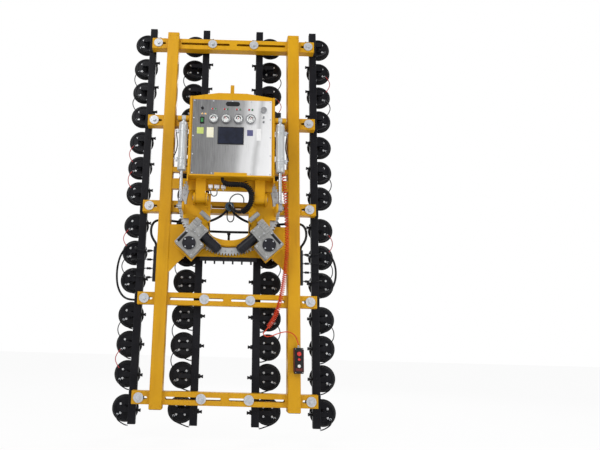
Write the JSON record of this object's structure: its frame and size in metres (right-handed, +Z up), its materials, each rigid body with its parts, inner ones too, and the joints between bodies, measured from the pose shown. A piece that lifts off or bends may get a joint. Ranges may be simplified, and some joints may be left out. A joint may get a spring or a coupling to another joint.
{
  "type": "glass panel vacuum lifter",
  "caption": "Crane-hung vacuum lifter: a tall frame of suction cups on sliding rails that turns on a slewing ring and tilts below a yoke with a control cabinet.",
  "frame": {"origin": "centre of the lifting eye's bore in the lug on top of the yoke", "axes": "+X to the operator's right along the eye's bore, +Y back towards the cups, +Z up"},
  "size_m": [2.4002, 0.699, 4.4979],
  "materials": {
    "frame_paint": "gloss amber yellow paint",
    "rail_black": "satin black powder coat",
    "cup_black": "black anodised",
    "lip_rubber": "matt black rubber",
    "hose_rubber": "smooth black rubber",
    "zinc_steel": "zinc plated",
    "ring_steel": "machined and oiled",
    "ball_steel": "polished",
    "gearbox_grey": "cast and painted light grey",
    "motor_black": "satin black",
    "barrel_grey": "clear anodised",
    "rod_chrome": "hard chromed",
    "pin_steel": "bright turned",
    "panel_steel": "brushed stainless",
    "gauge_black": "gloss black",
    "lamp_red": "clear coloured lens",
    "switch_green": "gloss green",
    "battery_grey": "moulded grey",
    "pump_grey": "cast",
    "union_blue": "blue anodised",
    "manifold_black": "black anodised",
    "cord_orange": "satin orange red",
    "case_black": "moulded black",
    "button_red": "gloss red",
    "button_white": "gloss white"
  },
  "bodies": {
    "yoke": {"side_plates": "frame_paint", "yoke_beams": "frame_paint", "lifting_lug": "frame_paint", "cabinet_housing": "frame_paint", "control_panel": "panel_steel", "gauges": "gauge_black", "panel_lamps": "lamp_red", "battery": "battery_grey", "vacuum_pump": "pump_grey", "cord_gland": "case_black", "supply_hose": "hose_rubber"},
    "carrier": {"carrier_plate": "frame_paint", "hinge_brackets": "frame_paint", "tilt_pins": "pin_steel", "slew_inner_ring": "ring_steel", "slew_balls": "ball_steel", "gearboxes": "gearbox_grey", "drive_motors": "motor_black", "spiral_cord": "cord_orange", "pendant_case": "case_black"},
    "frame": {"column_left": "frame_paint", "column_right": "frame_paint", "cross_members": "frame_paint", "cross_stubs": "frame_paint", "ring_mount": "frame_paint", "slew_outer_ring": "ring_steel", "manifolds": "manifold_black", "rotary_union": "union_blue", "frame_hoses": "hose_rubber"},
    "pinion_left": {"pinion_left": "ring_steel"},
    "barrel_left": {"barrel_left": "barrel_grey"},
    "rod_left": {"rod_left": "rod_chrome"},
    "pinion_right": {"pinion_right": "ring_steel"},
    "barrel_right": {"barrel_right": "barrel_grey"},
    "rod_right": {"rod_right": "rod_chrome"},
    "rail_left_outer": {"rail_left_outer": "rail_black", "clamp_bolts_left_outer": "zinc_steel", "cup_holders_left_outer": "cup_black", "cup_lips_left_outer": "lip_rubber", "cup_hoses_left_outer": "hose_rubber"},
    "rail_left_inner": {"rail_left_inner": "rail_black", "clamp_bolts_left_inner": "zinc_steel", "cup_holders_left_inner": "cup_black", "cup_lips_left_inner": "lip_rubber", "cup_hoses_left_inner": "hose_rubber"},
    "rail_right_inner": {"rail_right_inner": "rail_black", "clamp_bolts_right_inner": "zinc_steel", "cup_holders_right_inner": "cup_black", "cup_lips_right_inner": "lip_rubber", "cup_hoses_right_inner": "hose_rubber"},
    "rail_right_outer": {"rail_right_outer": "rail_black", "clamp_bolts_right_outer": "zinc_steel", "cup_holders_right_outer": "cup_black", "cup_lips_right_outer": "lip_rubber", "cup_hoses_right_outer": "hose_rubber"},
    "key_switch": {"key_switch": "pin_steel"},
    "power_switch": {"power_switch": "switch_green"},
    "stop_button": {"stop_button": "button_red"},
    "hold_button": {"hold_button": "button_red"},
    "release_button": {"release_button": "button_white"}
  },
  "joints": [
    {"name": "tilt", "type": "hinge", "parent": "yoke", "child": "carrier", "pos_m": [0, -0.104, -1.28], "axis": [-1, 0, 0], "range_deg": [0, 90], "deforming": ["spiral_cord", "supply_hose"]},
    {"name": "rotate", "type": "hinge", "parent": "carrier", "child": "frame", "pos_m": [0, 0.036, -1.32], "axis": [0, 1, 0], "range_deg": [-180, 180]},
    {"name": "pinion_left_spin", "type": "hinge", "parent": "carrier", "child": "pinion_left", "pos_m": [-0.40482, 0.036, -1.7696], "axis": [0, 1, 0], "range_deg": [-1273, 1273]},
    {"name": "barrel_left_swing", "type": "hinge", "parent": "yoke", "child": "barrel_left", "pos_m": [-0.507, -0.204, -0.44], "axis": [-1, 0, 0], "range_deg": [-0.2, 0]},
    {"name": "rod_left_slide", "type": "slide", "parent": "barrel_left", "child": "rod_left", "axis": [0, -0.0312, -0.9995], "range_m": [-0.2505, 0]},
    {"name": "pinion_right_spin", "type": "hinge", "parent": "carrier", "child": "pinion_right", "pos_m": [0.40482, 0.036, -1.7696], "axis": [0, 1, 0], "range_deg": [-1273, 1273]},
    {"name": "barrel_right_swing", "type": "hinge", "parent": "yoke", "child": "barrel_right", "pos_m": [0.507, -0.204, -0.44], "axis": [-1, 0, 0], "range_deg": [-0.2, 0]},
    {"name": "rod_right_slide", "type": "slide", "parent": "barrel_right", "child": "rod_right", "axis": [0, -0.0312, -0.9995], "range_m": [-0.2505, 0]},
    {"name": "rail_left_outer_slide", "type": "slide", "parent": "frame", "child": "rail_left_outer", "axis": [-1, 0, 0], "range_m": [-0.03, 0.03], "deforming": ["frame_hoses"]},
    {"name": "rail_left_inner_slide", "type": "slide", "parent": "frame", "child": "rail_left_inner", "axis": [-1, 0, 0], "range_m": [-0.1, 0.15]},
    {"name": "rail_right_inner_slide", "type": "slide", "parent": "frame", "child": "rail_right_inner", "axis": [1, 0, 0], "range_m": [-0.1, 0.15]},
    {"name": "rail_right_outer_slide", "type": "slide", "parent": "frame", "child": "rail_right_outer", "axis": [1, 0, 0], "range_m": [-0.03, 0.03], "deforming": ["frame_hoses"]},
    {"name": "key_turn", "type": "hinge", "parent": "yoke", "child": "key_switch", "pos_m": [-0.314, -0.247, -0.344], "axis": [0, 1, 0], "range_deg": [0, 90]},
    {"name": "power_rock", "type": "hinge", "parent": "yoke", "child": "power_switch", "pos_m": [-0.314, -0.2515, -0.475], "axis": [1, 0, 0], "range_deg": [-8, 8]},
    {"name": "stop_press", "type": "slide", "parent": "carrier", "child": "stop_button", "axis": [0, 1, 0], "range_m": [0, 0.004], "stiffness_N_per_m": 600},
    {"name": "hold_press", "type": "slide", "parent": "carrier", "child": "hold_button", "axis": [0, 1, 0], "range_m": [0, 0.004], "stiffness_N_per_m": 600},
    {"name": "release_press", "type": "slide", "parent": "carrier", "child": "release_button", "axis": [0, 1, 0], "range_m": [0, 0.004], "stiffness_N_per_m": 600}
  ],
  "couplings": [
    {"joint": "pinion_left_spin", "follows": "rotate", "ratio": -7.0667},
    {"joint": "barrel_left_swing", "follows": "tilt", "ratio": -0.0019597},
    {"joint": "rod_left_slide", "follows": "tilt", "m_per_rad": -0.15927},
    {"joint": "pinion_right_spin", "follows": "rotate", "ratio": -7.0667},
    {"joint": "barrel_right_swing", "follows": "tilt", "ratio": -0.0019597},
    {"joint": "rod_right_slide", "follows": "tilt", "m_per_rad": -0.15927}
  ]
}
